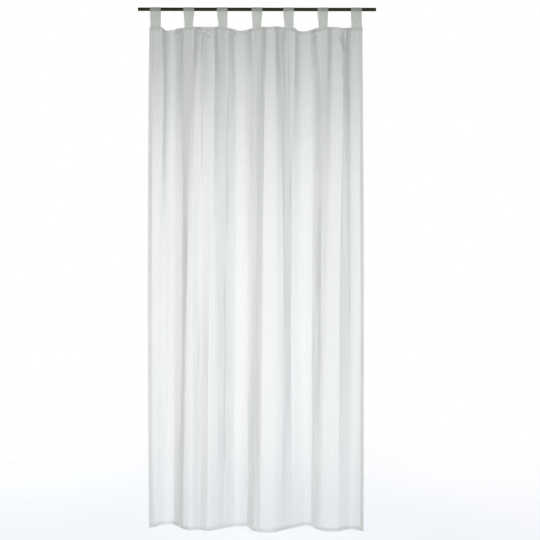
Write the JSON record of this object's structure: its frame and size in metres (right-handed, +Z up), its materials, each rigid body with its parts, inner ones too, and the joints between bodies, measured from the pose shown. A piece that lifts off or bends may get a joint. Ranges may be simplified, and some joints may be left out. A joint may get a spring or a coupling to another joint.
{
  "type": "sheer voile curtain with tabs on its rod",
  "caption": "Sheer white voile curtain hanging in soft uneven folds by sewn tabs from a thin straight dark rod.",
  "frame": {"origin": "middle of the rod's axis, where the rod that carries the curtain is held", "axes": "+X along the rod to the right of a viewer in the room, +Z up, -Y from the cloth towards the room"},
  "size_m": [1.118, 0.18, 2.4543],
  "materials": {
    "voile": "matte sheer white voile",
    "tab_voile": "matte white voile in double layers",
    "rod": "satin dark brown"
  },
  "bodies": {
    "root": {"rod": "rod", "panel": "voile", "tab_1": "tab_voile", "tab_2": "tab_voile", "tab_3": "tab_voile", "tab_4": "tab_voile", "tab_5": "tab_voile", "tab_6": "tab_voile", "tab_7": "tab_voile"}
  },
  "joints": []
}
